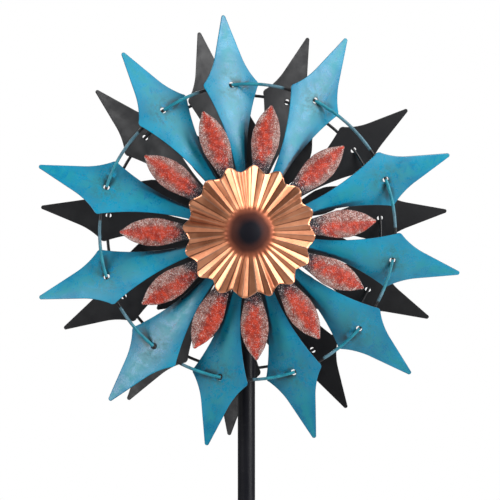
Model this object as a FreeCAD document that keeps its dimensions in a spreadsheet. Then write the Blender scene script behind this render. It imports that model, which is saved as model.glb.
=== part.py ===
"""Garden wind spinner: two eleven-blade rotors, back to back on a pole with a ground fork.

Millimetres. +Z is up and the origin is on the ground line under the pole. The rotors turn
about one axle along Y, and the front of the spinner faces -Y. Each rotor is laid out by "out",
the distance from the pole's centre line along the axle, away from the pole.
"""

import FreeCAD, Part
import math
import os

import Sketcher
from FreeCAD import Placement, Rotation, Vector

# name: (value, what it is)
SIZES = {
    "hub_height": (1400.0, "axle above the ground"),
    # blades
    "ring_radius": (207.0, "centre line of the ring rod"),
    "ring_out": (67.0, "plane of the ring rod"),
    "ring_rod_radius": (2.25, "ring rod"),
    "ring_hole_across": (6.2, "half the ring rod's hole, across the blade"),
    "ring_hole_radial": (4.4, "half the ring rod's hole, along the radius"),
    "blade_metal": (1.2, "blade sheet, measured along the axle"),
    "blade_root_out": (86.5, "middle of the sheet on the blade plate"),
    "blade_start": (40.0, "inner end of the blade's flat tab"),
    "blade_tab_end": (60.0, "radius where the tab starts to twist"),
    "blade_tab_half": (7.0, "half the width of the tab"),
    "blade_flare_start": (70.0, "radius where the sides start to flare"),
    "blade_flare": (144.0, "radius of the point halfway up the flare"),
    "blade_flare_half": (17.0, "half the width there"),
    "blade_twist_end": (150.0, "radius where the full pitch is reached"),
    "blade_pitch": (28.0, "degrees between a blade and the plane of rotation"),
    "blade_root_bend": (50.0, "bend radius across the blade near its root"),
    "blade_wide_bend": (120.0, "bend radius across the blade at its shoulders"),
    "blade_shoulder": (208.0, "radius of the widest point"),
    "blade_half_width": (39.0, "half the widest width, seen along the axle"),
    "shoulder_run": (5.0, "shoulder's rounding, along the radius on each side"),
    "shoulder_below": (37.3, "half the width where the rounding starts"),
    "shoulder_above": (36.3, "half the width where the rounding ends"),
    "blade_waist": (228.5, "radius of the middle of the hollow side above the shoulder"),
    "blade_waist_half": (26.5, "half the width there"),
    "blade_neck": (248.0, "radius where the point's sides become straight"),
    "blade_neck_half": (18.8, "half the width there"),
    "blade_tip": (307.0, "radius of the tip"),
    "blade_tip_half": (3.0, "half the width where the tip's rounding starts"),
    "blade_tip_round": (3.0, "length of the tip's rounding"),
    # petals
    "petal_metal": (1.0, "petal sheet, measured along the axle"),
    "petal_lift": (15.0, "petal in front of the blade at the same radius"),
    "petal_start": (42.0, "inner end of the petal's tab"),
    "petal_tab_half": (6.0, "half the width of the tab"),
    "petal_flare": (90.0, "radius of the point halfway up the flare"),
    "petal_flare_half": (11.5, "half the width there"),
    "petal_half_width": (19.2, "half the widest width"),
    "petal_widest": (131.0, "radius of the widest point"),
    "petal_swell": (11.0, "from the widest point to where the side starts to turn in"),
    "petal_swell_half": (18.6, "half the width there"),
    "petal_taper": (160.0, "radius of the point halfway up the taper"),
    "petal_taper_half": (12.9, "half the width there"),
    "petal_tip": (178.0, "radius of the tip"),
    "petal_tip_half": (3.0, "half the width where the tip's rounding starts"),
    "petal_tip_round": (2.5, "length of the tip's rounding"),
    "petal_bend": (55.0, "bend radius across the petal"),
    "weld_hole_radius": (2.0, "plug-weld hole in each petal's tab"),
    "weld_hole_place": (51.0, "radius of the plug-weld hole from the axle"),
    "drill_reach": (10.0, "how far a drill goes on each side of a sheet's middle"),
    "sheet_margin": (8.0, "formed surface outside a sheet's outline, before it is cut"),
    # plates, hub and bearings
    "plate_radius": (58.0, "blade plate and petal plate"),
    "plate_metal": (2.0, "plate thickness"),
    "weld_gap": (0.1, "between a plate and the tabs welded to it"),
    "hub_radius": (16.0, "outside of the bearing housing"),
    "hub_start": (71.0, "end of the housing beside the pole"),
    "hub_end": (113.0, "flanged end of the housing"),
    "hub_flange_metal": (1.2, "flange that carries the cap"),
    "hub_land_radius": (11.5, "bore between the two bearing seats"),
    "bearing_outer": (13.0, "bearing outside radius"),
    "bearing_bore": (5.05, "bearing bore, a running fit on the axle"),
    "bearing_width": (8.0, "bearing width"),
    "bearing_inner_out": (72.0, "start of the bearing beside the pole"),
    "bearing_outer_out": (100.0, "start of the bearing under the cap"),
    "bearing_edge": (0.6, "bearing edge chamfer"),
    "end_float": (0.2, "gap between a turning bearing and a fixed face"),
    # cap
    "cap_metal": (0.8, "cap sheet, measured along the axle"),
    "dome_radius": (30.0, "edge of the smooth dome"),
    "dome_base_out": (113.8, "outer face of the cap at the dome's edge"),
    "dome_top_out": (130.0, "top of the dome"),
    "cap_rim_out": (106.0, "mean plane of the rim"),
    "cap_rim_mean": (87.7, "mean radius of the scalloped rim"),
    "cap_lobe": (3.7, "height of a lobe above the mean rim"),
    "cap_lobes": (16, "number of lobes"),
    "cap_pleats": (32, "number of pleats"),
    "cap_turn": (4.3, "degrees from the rotor's top to the first lobe"),
    "pleat_inner": (0.8, "half the pleat's depth beside the dome"),
    "pleat_outer": (2.4, "half the pleat's depth at the rim"),
    # axle
    "axle_radius": (5.0, "axle"),
    "axle_half": (121.0, "half the axle's length"),
    "axle_edge": (1.0, "axle end chamfer"),
    "sleeve_radius": (8.0, "outside of the axle sleeve"),
    "sleeve_half": (24.0, "half the axle sleeve's length"),
    "nut_half_flats": (8.5, "hexagon nut, half across its flats"),
    "jam_nut_height": (8.0, "jam nut"),
    "lock_nut_height": (9.5, "lock nut with its collar"),
    "lock_nut_collar": (2.5, "height of the lock nut's round collar"),
    "nut_crown": (0.9, "how much a nut's corners are cut back at its ends"),
    "collar_step": (0.7, "lock nut's collar inside the nut's flats"),
    "spacer_radius": (8.0, "spacer between jam nut and bearing"),
    "race_spacer_radius": (6.5, "spacer between the two bearings"),
    "washer_radius": (7.0, "washer under the lock nut"),
    "washer_metal": (1.5, "washer"),
    # pole
    "pole_radius": (12.7, "outside of the pole"),
    "pole_wall": (1.2, "pole wall"),
    "pole_start": (19.0, "lower end of the pole"),
    "section_length": (468.0, "visible length of one pole section"),
    "spigot_length": (45.0, "reduced end of a section, inside the next one"),
    "spigot_gap": (0.2, "radial gap around a reduced end"),
    "sleeve_gap": (0.05, "radial gap around the axle sleeve, and around the end cap's stem"),
    "screw_gap": (0.1, "radial gap around a joint screw"),
    "plug_length": (10.0, "end cap inside the pole"),
    "plug_dome": (5.0, "end cap above the pole"),
    "screw_radius": (2.5, "joint screw shank"),
    "screw_head": (4.6, "joint screw head radius"),
    "screw_head_height": (2.8, "joint screw head height"),
    "screw_head_round": (1.2, "rounding of the joint screw's head"),
    "screw_reach": (5.0, "joint screw below its head"),
    # foot
    "fork_rod_radius": (4.0, "bent rod of the fork"),
    "fork_half": (70.0, "half the distance between two prongs"),
    "fork_bend": (20.0, "bend radius of the rod's centre line"),
    "fork_depth": (200.0, "prongs below the ground"),
    "fork_point": (25.0, "length of a prong's point"),
    "fork_point_end": (0.6, "radius at the end of the point"),
    "foot_radius": (30.0, "foot plate"),
    "foot_metal": (3.0, "foot plate thickness"),
    "socket_length": (80.0, "socket tube above the foot plate"),
    "socket_wall": (1.5, "socket tube wall"),
}

# The blades are set by hand, so their spacing is uneven. Degrees clockwise from the top.
BLADE_ANGLES = {
    "front": [353.5, 27, 69, 101, 131, 162, 191, 219.5, 252.5, 287.5, 325],
    "rear": [347, 18, 53, 84, 115, 150, 184.5, 215, 242, 277, 313.5],
}
# The spinner's front faces -Y, so "out" runs along -Y on the front rotor.
SIDES = {"front": -1, "rear": 1}
SECTIONS = ("pole_lower", "pole_middle", "pole_upper")
# Points across and along the surface that a sheet is cut from.
SURFACE_COLUMNS = 9
SURFACE_ROWS = 25

doc = FreeCAD.newDocument("WindSpinner")
sheet = doc.addObject("Spreadsheet::Sheet", "Sizes")


class Size:
    """A length with the spreadsheet expression that gives it."""

    def __init__(self, value, text):
        self.value = value
        self.text = text

    def _join(self, other, sign, value):
        text = other.text if isinstance(other, Size) else str(other)
        return Size(value, f"({self.text} {sign} {text})")

    def __add__(self, other):
        return self._join(other, "+", self.value + number(other))

    def __sub__(self, other):
        return self._join(other, "-", self.value - number(other))

    def __mul__(self, other):
        return self._join(other, "*", self.value * number(other))


def number(size):
    return size.value if isinstance(size, Size) else size


def of(alias):
    """The named cell as a Size."""
    return Size(float(getattr(sheet, alias)), f"Sizes.{alias}")


def mm(alias):
    """The named cell as a plain number."""
    return float(getattr(sheet, alias))


def fill_sheet():
    cells = {alias: value for alias, (value, note) in SIZES.items()}
    notes = {alias: note for alias, (value, note) in SIZES.items()}
    for side, angles in BLADE_ANGLES.items():
        for index, angle in enumerate(angles, start=1):
            cells[f"{side}_angle_{index:02d}"] = angle
            notes[f"{side}_angle_{index:02d}"] = "blade's place round the hub, in degrees"
    for row, (alias, value) in enumerate(cells.items(), start=1):
        sheet.set(f"A{row}", alias)
        sheet.set(f"B{row}", str(value))
        sheet.setAlias(f"B{row}", alias)
        sheet.set(f"C{row}", notes[alias])
    doc.recompute()


def bind(obj, **sizes):
    for name, size in sizes.items():
        setattr(obj, name, number(size))
        if isinstance(size, Size):
            obj.setExpression(name, size.text)


def add(kind, label, **sizes):
    obj = doc.addObject(kind, label)
    obj.Label = label
    bind(obj, **sizes)
    return obj


def place(obj, base=(0, 0, 0), rotation=None):
    """Put an object at a base of numbers or Sizes, and bind the coordinates that are Sizes."""
    obj.Placement = Placement(Vector(*[number(part) for part in base]), rotation or Rotation())
    for axis, part in zip("xyz", base):
        if isinstance(part, Size):
            obj.setExpression(f"Placement.Base.{axis}", part.text)
    return obj


def out_place(obj, side, out):
    """Lay an object's Z axis along a rotor's "out", starting at the given out."""
    rotation = Rotation(Vector(1, 0, 0), -90 * SIDES[side])
    return place(obj, (0, out * SIDES[side], of("hub_height")), rotation)


def combine(kind, label, parts):
    obj = add(kind, label)
    if kind == "Part::Cut":
        obj.Base, obj.Tool = parts
    elif kind == "Part::Compound":
        obj.Links = parts
    else:
        obj.Shapes = parts
    return obj


def tube(label, outer, inner, height):
    """A round tube that stands on its own origin."""
    wall = add("Part::Cylinder", f"{label}_wall", Radius=outer, Height=height)
    bore = add("Part::Cylinder", f"{label}_bore", Radius=inner, Height=height)
    return combine("Part::Cut", label, [wall, bore])


def sketch_on(body, label, plane):
    """An empty sketch on one of the body's own origin planes."""
    sketch = body.newObject("Sketcher::SketchObject", label)
    support = [item for item in body.Origin.OriginFeatures if item.Role == plane][0]
    sketch.AttachmentSupport = [(support, "")]
    sketch.MapMode = "FlatFace"
    return sketch


def trim_rims(kind, label, base, radius, heights, amount):
    """Fillet or chamfer the base's circular edges of a radius that lie at the given heights."""
    doc.recompute()
    rims = []
    for index, edge in enumerate(base.Shape.Edges, start=1):
        if isinstance(edge.Curve, Part.Circle) and math.isclose(edge.Curve.Radius, mm(radius)):
            if any(math.isclose(edge.Curve.Center.z, height, abs_tol=1e-6) for height in heights):
                rims.append((index, amount, amount))
    trimmed = add(kind, label)
    trimmed.Base = base
    trimmed.Edges = rims
    return trimmed


def profile_sketch(body, label, corners):
    """A closed outline of straight lines whose corners are bound to the sheet."""
    sketch = sketch_on(body, label, "XZ_Plane")
    points = [Vector(number(x), number(y), 0) for x, y in corners]
    for start, end in zip(points, points[1:] + points[:1]):
        sketch.addGeometry(Part.LineSegment(start, end), False)
    for index, (x, y) in enumerate(corners):
        following = (index + 1) % len(corners)
        sketch.addConstraint(Sketcher.Constraint("Coincident", index, 2, following, 1))
        pin_corner(sketch, index, "DistanceX", x, -2)
        pin_corner(sketch, index, "DistanceY", y, -1)
    return sketch


def pin_corner(sketch, index, direction, size, axis):
    """Hold one coordinate of a corner: on the sketch's axis if it is zero, or at its Size."""
    if number(size) == 0:
        sketch.addConstraint(Sketcher.Constraint("PointOnObject", index, 1, axis))
        return
    row = sketch.addConstraint(Sketcher.Constraint(direction, -1, 1, index, 1, number(size)))
    sketch.setExpression(f"Constraints[{row}]", size.text)


def turned(label, corners):
    """A body of revolution about its own Z axis, from (radius, height) corners."""
    body = doc.addObject("PartDesign::Body", label)
    body.Label = label
    sketch = profile_sketch(body, f"{label}_profile", corners)
    turn = body.newObject("PartDesign::Revolution", f"{label}_turn")
    turn.Profile = sketch
    turn.ReferenceAxis = (sketch, ["V_Axis"])
    turn.Angle = 360
    doc.recompute()
    return body


def cross_hole(body, label, radius, height, reach):
    """Drill a round hole through the body along its Y axis, centred at a height."""
    sketch = sketch_on(body, f"{label}_circle", "XZ_Plane")
    circle = Part.Circle(Vector(0, number(height), 0), Vector(0, 0, 1), number(radius))
    sketch.addGeometry(circle, False)
    sketch.addConstraint(Sketcher.Constraint("PointOnObject", 0, 3, -2))
    row = sketch.addConstraint(Sketcher.Constraint("Radius", 0, number(radius)))
    sketch.setExpression(f"Constraints[{row}]", radius.text)
    row = sketch.addConstraint(Sketcher.Constraint("DistanceY", -1, 1, 0, 3, number(height)))
    sketch.setExpression(f"Constraints[{row}]", height.text)
    solid_before = body.Shape.Volume
    hole = body.newObject("PartDesign::Pocket", label)
    hole.Profile = sketch
    hole.Midplane = reach == "both walls"
    hole.Reversed = reach == "front wall"
    hole.Length = 4 * mm("pole_radius")
    doc.recompute()
    if not body.Shape.Volume < solid_before:
        raise ValueError(f"{label} cuts nothing")


# --- blades and petals -----------------------------------------------------------------------

def ease(value, start, end):
    """0 before start, 1 after end, and a smooth step between them."""
    step = min(max((value - start) / (end - start), 0.0), 1.0)
    return step * step * (3.0 - 2.0 * step)


def lean_out(radius):
    """The middle of the blade sheet: flat on the plate, then leaning back towards the pole."""
    run = max(radius - mm("blade_tab_end"), 0.0)
    lean = (mm("blade_root_out") - mm("ring_out")) / (mm("ring_radius") - mm("blade_tab_end"))
    return mm("blade_root_out") - lean * run


def blade_point(across, radius, side):
    """A point in the middle of a blade: pitched, twisted at its root and bent across."""
    turn = ease(radius, mm("blade_tab_end"), mm("blade_twist_end"))
    widening = ease(radius, mm("blade_twist_end") / 2, mm("blade_shoulder"))
    bend = (1 - widening) / mm("blade_root_bend") + widening / mm("blade_wide_bend")
    bend *= ease(radius, mm("blade_tab_end"), mm("blade_twist_end") * 0.75)
    slope = math.tan(math.radians(mm("blade_pitch"))) * turn
    out = lean_out(radius) - bend * across ** 2 / 2
    return Vector(across, SIDES[side] * out + slope * across, radius)


def petal_point(across, radius, side):
    """A point in the middle of a petal: parallel to the blades' lean and bent across."""
    bend = ease(radius, mm("blade_tab_end"), mm("petal_widest")) / mm("petal_bend")
    out = lean_out(radius) + mm("petal_lift") - bend * across ** 2 / 2
    return Vector(across, SIDES[side] * out, radius)


def formed_sheet(label, side, point, half_width, start, tip, metal, outline):
    """A bent sheet of the given outline: the outline is cut through a thick formed surface."""
    margin = mm("sheet_margin")
    length = tip - start + 2 * margin
    radii = [start - margin + length * row / (SURFACE_ROWS - 1) for row in range(SURFACE_ROWS)]
    grid = []
    for column in range(SURFACE_COLUMNS):
        across = (half_width + margin) * (2.0 * column / (SURFACE_COLUMNS - 1) - 1.0)
        grid.append([point(across, radius, side) for radius in radii])
    surface = Part.BSplineSurface()
    surface.interpolate(grid)
    middle = add("Part::Feature", f"{label}_surface")
    middle.Shape = surface.toShape()
    slab = add("Part::Extrusion", f"{label}_slab", LengthFwd=metal * 0.5, LengthRev=metal * 0.5)
    slab.Base = middle
    slab.DirMode = "Custom"
    slab.Dir = Vector(0, 1, 0)
    slab.Solid = True
    face = add("Part::Feature", f"{label}_outline")
    face.Shape = Part.Face(Part.Wire(Part.__sortEdges__(outline)))
    cutter = add("Part::Extrusion", f"{label}_cutter", LengthFwd=of("dome_top_out"))
    cutter.Base = face
    cutter.DirMode = "Custom"
    cutter.Dir = Vector(0, SIDES[side], 0)
    cutter.Solid = True
    return combine("Part::MultiCommon", f"{label}_sheet", [slab, cutter])


def both_halves(edges):
    """The right half of an outline and its mirror image."""
    mirrored = [edge.mirror(Vector(0, 0, 0), Vector(1, 0, 0)) for edge in edges]
    return edges + [edge for shape in mirrored for edge in shape.Edges]


def at(across, radius):
    return Vector(across, 0, radius)


def arc(start, middle, end):
    return Part.Arc(start, middle, end).toShape()


def line(start, end):
    return Part.LineSegment(start, end).toShape()


def rounded_tip(half, length, tip):
    """The arc over a tip, level at its top, from a half width that lies a length below the tip."""
    radius = (half ** 2 + length ** 2) / (2 * length)
    turn = math.asin(half / radius) / 2
    middle = at(radius * math.sin(turn), tip - radius * (1 - math.cos(turn)))
    return arc(at(half, tip - length), middle, at(0, tip))


def blade_outline():
    """A narrow tab that flares to rounded shoulders, then narrows to a long point."""
    tab, start, tip = mm("blade_tab_half"), mm("blade_start"), mm("blade_tip")
    shoulder, run = mm("blade_shoulder"), mm("shoulder_run")
    flare_start = at(tab, mm("blade_flare_start"))
    flare = at(mm("blade_flare_half"), mm("blade_flare"))
    below = at(mm("shoulder_below"), shoulder - run)
    above = at(mm("shoulder_above"), shoulder + run)
    waist = at(mm("blade_waist_half"), mm("blade_waist"))
    neck = at(mm("blade_neck_half"), mm("blade_neck"))
    tip_half, tip_round = mm("blade_tip_half"), mm("blade_tip_round")
    return both_halves([
        line(at(0, start), at(tab, start)),
        line(at(tab, start), flare_start),
        arc(flare_start, flare, below),
        arc(below, at(mm("blade_half_width"), shoulder), above),
        arc(above, waist, neck),
        line(neck, at(tip_half, tip - tip_round)),
        rounded_tip(tip_half, tip_round, tip),
    ])


def petal_outline():
    """A tab that widens into a leaf with a rounded point."""
    tab, start, tip = mm("petal_tab_half"), mm("petal_start"), mm("petal_tip")
    widest, swell = mm("petal_widest"), mm("petal_swell")
    tip_half, tip_round = mm("petal_tip_half"), mm("petal_tip_round")
    tab_end = at(tab, mm("blade_tab_end"))
    leaf = Part.BSplineCurve()
    leaf.interpolate([
        tab_end,
        at(mm("petal_flare_half"), mm("petal_flare")),
        at(mm("petal_swell_half"), widest - swell),
        at(mm("petal_half_width"), widest),
        at(mm("petal_swell_half"), widest + swell),
        at(mm("petal_taper_half"), mm("petal_taper")),
        at(tip_half, tip - tip_round),
    ])
    return both_halves([
        line(at(0, start), at(tab, start)),
        line(at(tab, start), tab_end),
        leaf.toShape(),
        rounded_tip(tip_half, tip_round, tip),
    ])


def weld_hole(side):
    """The drill for the plug weld that fixes a petal's tab to its plate."""
    reach = of("drill_reach")
    drill = add("Part::Cylinder", f"{side}_weld_drill", Radius=of("weld_hole_radius"), Height=reach * 2)
    start = SIDES[side] * (mm("blade_root_out") + mm("petal_lift") - number(reach))
    along = Rotation(Vector(0, 0, 1), Vector(0, SIDES[side], 0))
    drill.Placement = Placement(Vector(0, start, mm("weld_hole_place")), along)
    return drill


def ring_hole(side):
    """The punch for the ring rod's hole: an oval, wider across the blade, square to its pitch."""
    oval = add("Part::Ellipse", f"{side}_ring_oval", MajorRadius=of("ring_hole_across"),
               MinorRadius=of("ring_hole_radial"))
    pitch = Rotation(Vector(0, 0, 1), mm("blade_pitch"))
    upright = Rotation(Vector(1, 0, 0), 90)
    oval.Placement = Placement(Vector(0, SIDES[side] * mm("ring_out"), mm("ring_radius")), pitch * upright)
    reach = of("drill_reach")
    punch = add("Part::Extrusion", f"{side}_ring_punch", LengthFwd=reach, LengthRev=reach)
    punch.Base = oval
    punch.DirMode = "Custom"
    punch.Dir = pitch.multVec(Vector(0, 1, 0))
    punch.Solid = True
    return punch


def set_round_hub(obj, side, index, offset=0.0):
    """Turn a sheet about the axle to its place on the rotor."""
    angle = of(f"{side}_angle_{index:02d}")
    if offset:
        angle = angle + offset
    obj.Placement = Placement(Vector(0, 0, mm("hub_height")), Rotation(Vector(0, 1, 0), number(angle)))
    obj.setExpression("Placement.Base.z", of("hub_height").text)
    obj.setExpression("Placement.Rotation.Angle", f"{angle.text} * 1 deg")
    return obj


def blades(side):
    pressed = formed_sheet(f"{side}_blade", side, blade_point, mm("blade_half_width"),
                           mm("blade_start"), mm("blade_tip"), of("blade_metal"), blade_outline())
    punch = ring_hole(side)
    made = []
    for index in range(1, len(BLADE_ANGLES[side]) + 1):
        blade = combine("Part::Cut", f"{side}_blade_{index:02d}", [pressed, punch])
        made.append(set_round_hub(blade, side, index))
    return made


def petal_offset(side, index):
    """Degrees from a blade to the middle of the gap after it, where its petal stands."""
    angles = BLADE_ANGLES[side]
    gap = (angles[index % len(angles)] - angles[index - 1]) % 360
    return gap / 2


def petals(side):
    leaf = formed_sheet(f"{side}_petal", side, petal_point, mm("petal_half_width"),
                        mm("petal_start"), mm("petal_tip"), of("petal_metal"), petal_outline())
    drill = weld_hole(side)
    made = []
    for index in range(1, len(BLADE_ANGLES[side]) + 1):
        petal = combine("Part::Cut", f"{side}_petal_{index:02d}", [leaf, drill])
        made.append(set_round_hub(petal, side, index, petal_offset(side, index)))
    return made


# --- rotor ring, plates, hub, bearings and cap -------------------------------------------------

def ring(side):
    rod = add("Part::Torus", f"{side}_ring", Radius1=of("ring_radius"), Radius2=of("ring_rod_radius"))
    return out_place(rod, side, of("ring_out"))


def round_plate(label, side, front_face):
    """A steel disc with the hub's bore, its outer face at the given out."""
    plate = tube(label, of("plate_radius"), of("hub_radius"), of("plate_metal"))
    return out_place(plate, side, front_face - of("plate_metal"))


def hub(side):
    """The bearing housing: a seat at each end, a land between them, and the cap's flange."""
    start = of("hub_start")
    length = of("hub_end") - start
    first_seat = of("bearing_inner_out") + of("bearing_width") - start
    second_seat = of("bearing_outer_out") - start
    flange = length - of("hub_flange_metal")
    corners = [
        (of("bearing_outer"), 0), (of("hub_radius"), 0), (of("hub_radius"), flange),
        (of("dome_radius"), flange), (of("dome_radius"), length), (of("bearing_outer"), length),
        (of("bearing_outer"), second_seat), (of("hub_land_radius"), second_seat),
        (of("hub_land_radius"), first_seat), (of("bearing_outer"), first_seat),
    ]
    return out_place(turned(f"{side}_hub", corners), side, start)


def bearings(side):
    """Two sealed ball bearings with chamfered edges."""
    ends = (0, mm("bearing_width"))
    made = []
    for index, seat in enumerate(("bearing_inner_out", "bearing_outer_out"), start=1):
        label = f"{side}_bearing_{index}"
        plain = tube(f"{label}_plain", of("bearing_outer"), of("bearing_bore"), of("bearing_width"))
        bearing = trim_rims("Part::Chamfer", label, plain, "bearing_outer", ends, mm("bearing_edge"))
        made.append(out_place(bearing, side, of(seat)))
    return combine("Part::Compound", f"{side}_bearings", made)


def pleat_corner(step, rim):
    """One corner of the pleated collar: even steps are ridges, odd steps are grooves."""
    angle = math.pi * step / mm("cap_pleats")
    ridge = -1.0 if step % 2 else 1.0
    if rim:
        radius = mm("cap_rim_mean") + mm("cap_lobe") * math.cos(mm("cap_lobes") * angle)
        out = mm("cap_rim_out") + ridge * mm("pleat_outer")
    else:
        radius = mm("dome_radius") - mm("cap_metal")
        out = mm("dome_base_out") + (1 + ridge) * mm("pleat_inner")
    turned_angle = angle + math.radians(mm("cap_turn"))
    return Vector(radius * math.sin(turned_angle), radius * math.cos(turned_angle), out)


def pleated_collar():
    """The folded collar as a closed solid: two flat-sided skins, one sheet thickness apart."""
    steps = 2 * int(mm("cap_pleats"))
    back = Vector(0, 0, -mm("cap_metal"))
    faces = []
    for step in range(steps):
        inner, outer = pleat_corner(step, False), pleat_corner(step, True)
        next_inner, next_outer = pleat_corner(step + 1, False), pleat_corner(step + 1, True)
        for start, end, next_start, next_end in (
                (inner, outer, next_inner, next_outer),
                (inner + back, outer + back, next_inner + back, next_outer + back),
                (outer, outer + back, next_outer, next_outer + back),
                (inner, inner + back, next_inner, next_inner + back)):
            faces.append(Part.makeRuledSurface(line(start, end), line(next_start, next_end)))
    shell = Part.makeCompound(faces)
    shell.sewShape()
    solid = Part.Solid(shell.Shells[0])
    return solid if solid.Volume > 0 else solid.reversed()


def dome_skin():
    """The smooth dome: a sphere's cap, hollow, that ends in the collar's inner edge."""
    base, rise = mm("dome_radius"), mm("dome_top_out") - mm("dome_base_out")
    ball = (base ** 2 + rise ** 2) / (2 * rise)
    centre = Vector(0, 0, mm("dome_top_out") - ball)
    skin = Part.makeSphere(ball, centre).cut(Part.makeSphere(ball - mm("cap_metal"), centre))
    keep = Part.makeCylinder(2 * base, 2 * base, Vector(0, 0, mm("dome_base_out") - mm("cap_metal")))
    return skin.common(keep)


def cap(side, pressing):
    """The pleated cap: one pressed sheet with a smooth dome in its middle."""
    pressed = add("Part::Feature", f"{side}_cap")
    pressed.Shape = pressing.copy()
    return out_place(pressed, side, 0)


def rotor(side, pressing):
    blade_face = of("blade_root_out") - of("blade_metal") * 0.5 - of("weld_gap")
    petal_face = of("blade_root_out") + of("petal_lift") - of("petal_metal") * 0.5 - of("weld_gap")
    plates = [round_plate(f"{side}_blade_plate", side, blade_face),
              round_plate(f"{side}_petal_plate", side, petal_face)]
    leaves = petals(side)
    if side == "rear":
        leaves = [combine("Part::Compound", "rear_petals", leaves)]
    return blades(side) + leaves + plates + [ring(side), hub(side), bearings(side), cap(side, pressing)]


# --- axle and what is fixed on it --------------------------------------------------------------

def axle():
    rod = add("Part::Cylinder", "axle_rod", Radius=of("axle_radius"), Height=of("axle_half") * 2)
    ends = (0, mm("axle_half") * 2)
    trimmed = trim_rims("Part::Chamfer", "axle", rod, "axle_radius", ends, mm("axle_edge"))
    return out_place(trimmed, "front", of("axle_half") * -1)


def on_both_sides(label, make, start):
    """A pair of pieces that sit on the front and the rear of the axle."""
    pair = [out_place(make(f"{side}_{label}"), side, start) for side in SIDES]
    return combine("Part::Compound", label, pair)


def axle_ring(radius, length):
    return lambda label: tube(label, radius, of("bearing_bore"), length)


def hexagon_nut(label, height):
    """A hexagon nut whose corners are cut back by a cone at its outer end."""
    corner = of("nut_half_flats") * (2 / math.sqrt(3))
    blank = add("Part::Prism", f"{label}_blank", Polygon=6, Circumradius=corner, Height=height)
    crown = add("Part::Cone", f"{label}_crown", Radius1=corner + height, Height=height,
                Radius2=corner - of("nut_crown"))
    shaped = combine("Part::MultiCommon", f"{label}_shaped", [blank, crown])
    bore = add("Part::Cylinder", f"{label}_bore", Radius=of("bearing_bore"), Height=of("lock_nut_height"))
    return combine("Part::Cut", label, [shaped, bore])


def jam_nut(label):
    return hexagon_nut(label, of("jam_nut_height"))


def lock_nut(label):
    """A hexagon nut with the round collar that holds its locking insert."""
    height = of("lock_nut_height") - of("lock_nut_collar")
    outside = of("nut_half_flats") - of("collar_step")
    collar = tube(f"{label}_collar", outside, of("bearing_bore"), of("lock_nut_height"))
    return combine("Part::MultiFuse", label, [hexagon_nut(f"{label}_hexagon", height), collar])


def axle_pieces():
    sleeve = tube("axle_sleeve", of("sleeve_radius"), of("bearing_bore"), of("sleeve_half") * 2)
    out_place(sleeve, "front", of("sleeve_half") * -1)
    spacer_start = of("sleeve_half") + of("jam_nut_height")
    spacer_length = of("bearing_inner_out") - of("end_float") - spacer_start
    between_start = of("bearing_inner_out") + of("bearing_width") + of("end_float")
    between_length = of("bearing_outer_out") - of("end_float") - between_start
    washer_start = of("bearing_outer_out") + of("bearing_width") + of("end_float")
    return [
        axle(),
        sleeve,
        on_both_sides("jam_nuts", jam_nut, of("sleeve_half")),
        on_both_sides("axle_spacers", axle_ring(of("spacer_radius"), spacer_length), spacer_start),
        on_both_sides("race_spacers", axle_ring(of("race_spacer_radius"), between_length), between_start),
        on_both_sides("axle_washers", axle_ring(of("washer_radius"), of("washer_metal")), washer_start),
        on_both_sides("lock_nuts", lock_nut, washer_start + of("washer_metal")),
    ]


# --- pole --------------------------------------------------------------------------------------

def pole_tube(label, spigot):
    """One pole section. A section with a spigot ends in a reduced neck for the next section."""
    inside = of("pole_radius") - of("pole_wall")
    length = of("section_length")
    corners = [(inside, 0), (of("pole_radius"), 0), (of("pole_radius"), length)]
    if spigot:
        neck = inside - of("spigot_gap")
        top = length + of("spigot_length")
        bore = neck - of("pole_wall")
        corners += [(neck, length), (neck, top), (bore, top), (bore, length - of("pole_wall")),
                    (inside, length - of("pole_wall"))]
    else:
        corners += [(inside, length)]
    return turned(label, corners)


def screw_height():
    """Height of a joint screw above the lower end of the section that it holds."""
    return of("spigot_length") * 0.5


def pole():
    drill = of("screw_radius") + of("screw_gap")
    sections = []
    for index, name in enumerate(SECTIONS):
        top = name == SECTIONS[-1]
        section = pole_tube(name, spigot=not top)
        cross_hole(section, f"{name}_screw_hole", drill, screw_height(), "front wall")
        if top:
            axle_height = of("hub_height") - of("pole_start") - of("section_length") * index
            sleeve_drill = of("sleeve_radius") + of("sleeve_gap")
            cross_hole(section, "sleeve_hole", sleeve_drill, axle_height, "both walls")
        else:
            neck_hole = of("section_length") + screw_height()
            cross_hole(section, f"{name}_neck_hole", drill, neck_hole, "front wall")
        sections.append(place(section, (0, 0, of("pole_start") + of("section_length") * index)))
    return sections


def pole_cap():
    """A moulded plug with a low domed head."""
    plug = of("pole_radius") - of("pole_wall") - of("sleeve_gap")
    stem = add("Part::Cylinder", "cap_stem", Radius=plug, Height=of("plug_length"))
    place(stem, (0, 0, of("plug_length") * -1))
    head = add("Part::Cylinder", "cap_head", Radius=of("pole_radius"), Height=of("plug_dome"))
    rise = mm("plug_dome")
    domed = trim_rims("Part::Fillet", "cap_domed", head, "pole_radius", [rise], rise - 1)
    plug_cap = combine("Part::MultiFuse", "pole_cap", [stem, domed])
    return place(plug_cap, (0, 0, of("pole_start") + of("section_length") * len(SECTIONS)))


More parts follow.
